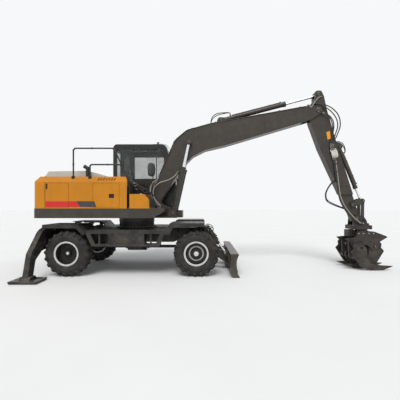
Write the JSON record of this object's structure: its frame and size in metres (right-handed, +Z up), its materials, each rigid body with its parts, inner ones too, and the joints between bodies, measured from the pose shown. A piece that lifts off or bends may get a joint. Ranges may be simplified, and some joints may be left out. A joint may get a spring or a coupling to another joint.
{
  "type": "wheeled excavator",
  "caption": "Wheeled excavator with one-piece boom, arm and log grapple, dozer blade, outriggers, slewing upper body, cab and opening doors.",
  "frame": {"origin": "on the ground under the swing axis", "axes": "+X forward, towards the blade and the boom; +Y to the machine's left; +Z up"},
  "size_m": [8.8056, 3.72, 4.59],
  "materials": {
    "orange_paint": "satin",
    "graphite_paint": "satin",
    "black_paint": "satin",
    "tyre": "matt",
    "rim_white": "satin",
    "chrome_rod": "polished",
    "bonnet_grey": "satin",
    "cast": "rough",
    "cab_plastic": "matt",
    "glass": "clear",
    "seat_fabric": "woven",
    "grapple_black": "worn"
  },
  "bodies": {
    "chassis": {"chassis_frame": "black_paint", "mudguards": "black_paint", "side_steps": "black_paint", "rear_axle": "black_paint", "front_axle": "black_paint", "drive_line": "black_paint"},
    "right_knuckle": {"right_knuckle": "black_paint"},
    "left_knuckle": {"left_knuckle": "black_paint"},
    "rear_right_wheel": {"rear_right_tyre": "tyre", "rear_right_rim": "rim_white"},
    "rear_left_wheel": {"rear_left_tyre": "tyre", "rear_left_rim": "rim_white"},
    "front_right_wheel": {"front_right_tyre": "tyre", "front_right_rim": "rim_white"},
    "front_left_wheel": {"front_left_tyre": "tyre", "front_left_rim": "rim_white"},
    "blade": {"dozer_blade": "graphite_paint"},
    "blade_barrel": {"blade_barrels": "black_paint"},
    "blade_rod": {"blade_rods": "chrome_rod"},
    "right_outrigger": {"right_leg": "black_paint"},
    "right_outrigger_barrel": {"right_leg_barrel": "black_paint"},
    "right_outrigger_rod": {"right_leg_rod": "chrome_rod"},
    "left_outrigger": {"left_leg": "black_paint"},
    "left_outrigger_barrel": {"left_leg_barrel": "black_paint"},
    "left_outrigger_rod": {"left_leg_rod": "chrome_rod"},
    "upper": {"upper_frame": "graphite_paint", "counterweight": "orange_paint", "hood": "orange_paint", "front_tank": "orange_paint", "engine": "cast", "exhaust": "black_paint", "handrails": "black_paint", "cab_shell": "black_paint", "cab_glass": "glass", "seat": "seat_fabric", "controls": "cab_plastic"},
    "bonnet": {"bonnet": "bonnet_grey"},
    "rear_service_door": {"service_door_rear": "orange_paint"},
    "front_service_door": {"service_door_front": "orange_paint"},
    "left_service_door": {"service_door_left": "orange_paint"},
    "cab_door": {"cab_door": "black_paint", "door_glass": "glass"},
    "boom": {"boom": "graphite_paint"},
    "boom_barrel": {"boom_barrels": "graphite_paint"},
    "boom_rod": {"boom_rods": "chrome_rod"},
    "arm": {"arm": "graphite_paint"},
    "arm_barrel": {"arm_barrel": "graphite_paint"},
    "arm_rod": {"arm_rod": "chrome_rod"},
    "tool_barrel": {"tool_barrel": "graphite_paint"},
    "tool_rod": {"tool_rod": "chrome_rod"},
    "rocker": {"rocker": "graphite_paint"},
    "tool_link": {"tool_link": "graphite_paint"},
    "grapple_hanger": {"grapple_hanger": "grapple_black"},
    "grapple_rotor": {"grapple_rotor": "grapple_black"},
    "rear_claw": {"rear_claw": "grapple_black"},
    "front_claw": {"front_claw": "grapple_black"},
    "claw_barrel": {"claw_barrel": "grapple_black"},
    "claw_rod": {"claw_rod": "chrome_rod"}
  },
  "joints": [
    {"name": "swing", "type": "hinge", "parent": "chassis", "child": "upper", "pos_m": [0, 0, 1.2], "axis": [0, 0, 1], "continuous": true},
    {"name": "rear_right_roll", "type": "hinge", "parent": "chassis", "child": "rear_right_wheel", "pos_m": [-1.34, -1.005, 0.522], "axis": [0, 1, 0], "continuous": true},
    {"name": "rear_left_roll", "type": "hinge", "parent": "chassis", "child": "rear_left_wheel", "pos_m": [-1.34, 1.005, 0.522], "axis": [0, 1, 0], "continuous": true},
    {"name": "right_steer", "type": "hinge", "parent": "chassis", "child": "right_knuckle", "pos_m": [1.585, -0.755, 0.522], "axis": [0, 0, 1], "range_deg": [-28, 28]},
    {"name": "left_steer", "type": "hinge", "parent": "chassis", "child": "left_knuckle", "pos_m": [1.585, 0.755, 0.522], "axis": [0, 0, 1], "range_deg": [-28, 28]},
    {"name": "front_right_roll", "type": "hinge", "parent": "right_knuckle", "child": "front_right_wheel", "pos_m": [1.585, -1.005, 0.522], "axis": [0, 1, 0], "continuous": true},
    {"name": "front_left_roll", "type": "hinge", "parent": "left_knuckle", "child": "front_left_wheel", "pos_m": [1.585, 1.005, 0.522], "axis": [0, 1, 0], "continuous": true},
    {"name": "blade_lift", "type": "hinge", "parent": "chassis", "child": "blade", "pos_m": [1.88, 0, 0.52], "axis": [0, -1, 0], "range_deg": [-8, 24]},
    {"name": "blade_barrel_hinge", "type": "hinge", "parent": "chassis", "child": "blade_barrel", "pos_m": [1.865, 0, 1.01], "axis": [0, -1, 0], "range_deg": [-4, 12]},
    {"name": "blade_rod_slide", "type": "slide", "parent": "blade_barrel", "child": "blade_rod", "axis": [0.6062, 0, -0.7953], "range_m": [-0.135, 0.046]},
    {"name": "right_outrigger_lift", "type": "hinge", "parent": "chassis", "child": "right_outrigger", "pos_m": [-1.932, -0.48, 0.74], "axis": [-1, 0, 0], "range_deg": [-4, 24]},
    {"name": "right_outrigger_barrel_hinge", "type": "hinge", "parent": "chassis", "child": "right_outrigger_barrel", "pos_m": [-1.932, -0.11, 1.01], "axis": [-1, 0, 0], "range_deg": [-2.5, 12.5]},
    {"name": "right_outrigger_rod_slide", "type": "slide", "parent": "right_outrigger_barrel", "child": "right_outrigger_rod", "axis": [0, -0.9999, -0.0133], "range_m": [-0.13, 0.03]},
    {"name": "left_outrigger_lift", "type": "hinge", "parent": "chassis", "child": "left_outrigger", "pos_m": [-1.932, 0.48, 0.74], "axis": [1, 0, 0], "range_deg": [-4, 24]},
    {"name": "left_outrigger_barrel_hinge", "type": "hinge", "parent": "chassis", "child": "left_outrigger_barrel", "pos_m": [-1.932, 0.11, 1.01], "axis": [1, 0, 0], "range_deg": [-2.5, 12.5]},
    {"name": "left_outrigger_rod_slide", "type": "slide", "parent": "left_outrigger_barrel", "child": "left_outrigger_rod", "axis": [0, 0.9999, -0.0133], "range_m": [-0.13, 0.03]},
    {"name": "bonnet_lift", "type": "hinge", "parent": "upper", "child": "bonnet", "pos_m": [-1.99, 0, 2.2703], "axis": [0, -1, 0], "range_deg": [0, 60]},
    {"name": "rear_service_door_swing", "type": "hinge", "parent": "upper", "child": "rear_service_door", "pos_m": [-1.2725, -1.195, 1.84], "axis": [0, 0, 1], "range_deg": [0, 80]},
    {"name": "front_service_door_swing", "type": "hinge", "parent": "upper", "child": "front_service_door", "pos_m": [-0.7305, -1.195, 1.84], "axis": [0, 0, -1], "range_deg": [0, 80]},
    {"name": "left_service_door_swing", "type": "hinge", "parent": "upper", "child": "left_service_door", "pos_m": [-1.7925, 1.195, 1.84], "axis": [0, 0, 1], "range_deg": [0, 80]},
    {"name": "cab_door_swing", "type": "hinge", "parent": "upper", "child": "cab_door", "pos_m": [-0.4575, 1.215, 2.45], "axis": [0, 0, 1], "range_deg": [0, 110]},
    {"name": "boom_lift", "type": "hinge", "parent": "upper", "child": "boom", "pos_m": [0.47, 0, 1.73], "axis": [0, -1, 0], "range_deg": [-45, 25]},
    {"name": "boom_barrel_hinge", "type": "hinge", "parent": "upper", "child": "boom_barrel", "pos_m": [0.98, 0, 1.42], "axis": [0, -1, 0], "range_deg": [-44, 25]},
    {"name": "boom_rod_slide", "type": "slide", "parent": "boom_barrel", "child": "boom_rod", "axis": [0.2169, 0, 0.9762], "range_m": [-0.46, 0.26]},
    {"name": "arm_crowd", "type": "hinge", "parent": "boom", "child": "arm", "pos_m": [4.71, 0, 4.07], "axis": [0, 1, 0], "range_deg": [-50, 38]},
    {"name": "arm_barrel_hinge", "type": "hinge", "parent": "boom", "child": "arm_barrel", "pos_m": [2.2, 0, 3.84], "axis": [0, 1, 0], "range_deg": [-2, 2]},
    {"name": "arm_rod_slide", "type": "slide", "parent": "arm_barrel", "child": "arm_rod", "axis": [0.9676, 0, 0.2524], "range_m": [-0.345, 0.262]},
    {"name": "tool_curl", "type": "hinge", "parent": "arm", "child": "grapple_hanger", "pos_m": [5.71, 0, 1.28], "axis": [0, 1, 0], "range_deg": [-50, 50]},
    {"name": "tool_barrel_hinge", "type": "hinge", "parent": "arm", "child": "tool_barrel", "pos_m": [5.3, 0, 3.15], "axis": [0, 1, 0], "range_deg": [-1, 1]},
    {"name": "tool_rod_slide", "type": "slide", "parent": "tool_barrel", "child": "tool_rod", "axis": [0.3804, 0, -0.9248], "range_m": [-0.15, 0.15]},
    {"name": "rocker_hinge", "type": "hinge", "parent": "arm", "child": "rocker", "pos_m": [5.6, 0, 1.63], "axis": [0, 1, 0], "range_deg": [-29, 29]},
    {"name": "link_hinge", "type": "hinge", "parent": "rocker", "child": "tool_link", "pos_m": [5.88, 0, 1.74], "axis": [0, 1, 0], "range_deg": [-18, 18]},
    {"name": "grapple_rotate", "type": "hinge", "parent": "grapple_hanger", "child": "grapple_rotor", "pos_m": [5.89, 0, 1], "axis": [0, 0, 1], "continuous": true},
    {"name": "claw_open", "type": "hinge", "parent": "grapple_rotor", "child": "rear_claw", "pos_m": [5.66, 0, 0.56], "axis": [0, 1, 0], "range_deg": [0, 70]},
    {"name": "front_claw_open", "type": "hinge", "parent": "grapple_rotor", "child": "front_claw", "pos_m": [6.12, 0, 0.56], "axis": [0, -1, 0], "range_deg": [0, 70]},
    {"name": "claw_barrel_hinge", "type": "hinge", "parent": "rear_claw", "child": "claw_barrel", "pos_m": [5.51905, 0, 0.6113], "axis": [0, 1, 0], "range_deg": [-70, 0]},
    {"name": "claw_rod_slide", "type": "slide", "parent": "claw_barrel", "child": "claw_rod", "axis": [1, 0, 0], "range_m": [-0.285, 0]}
  ],
  "couplings": [
    {"joint": "left_steer", "follows": "right_steer", "ratio": 1},
    {"joint": "blade_barrel_hinge", "follows": "blade_lift", "ratio": 0.48},
    {"joint": "blade_rod_slide", "follows": "blade_lift", "m_per_rad": -0.318},
    {"joint": "right_outrigger_barrel_hinge", "follows": "right_outrigger_lift", "ratio": 0.5},
    {"joint": "right_outrigger_rod_slide", "follows": "right_outrigger_lift", "m_per_rad": -0.294},
    {"joint": "left_outrigger_barrel_hinge", "follows": "left_outrigger_lift", "ratio": 0.5},
    {"joint": "left_outrigger_rod_slide", "follows": "left_outrigger_lift", "m_per_rad": -0.294},
    {"joint": "boom_barrel_hinge", "follows": "boom_lift", "ratio": 0.945},
    {"joint": "boom_rod_slide", "follows": "boom_lift", "m_per_rad": 0.577},
    {"joint": "arm_barrel_hinge", "follows": "arm_crowd", "ratio": 0.04},
    {"joint": "arm_rod_slide", "follows": "arm_crowd", "m_per_rad": 0.392},
    {"joint": "tool_barrel_hinge", "follows": "tool_curl", "ratio": -0.01},
    {"joint": "tool_rod_slide", "follows": "tool_curl", "m_per_rad": 0.1613},
    {"joint": "rocker_hinge", "follows": "tool_curl", "ratio": 0.55},
    {"joint": "link_hinge", "follows": "tool_curl", "ratio": -0.34},
    {"joint": "front_claw_open", "follows": "claw_open", "ratio": 1},
    {"joint": "claw_barrel_hinge", "follows": "claw_open", "ratio": -1},
    {"joint": "claw_rod_slide", "follows": "claw_open", "m_per_rad": -0.2307}
  ]
}
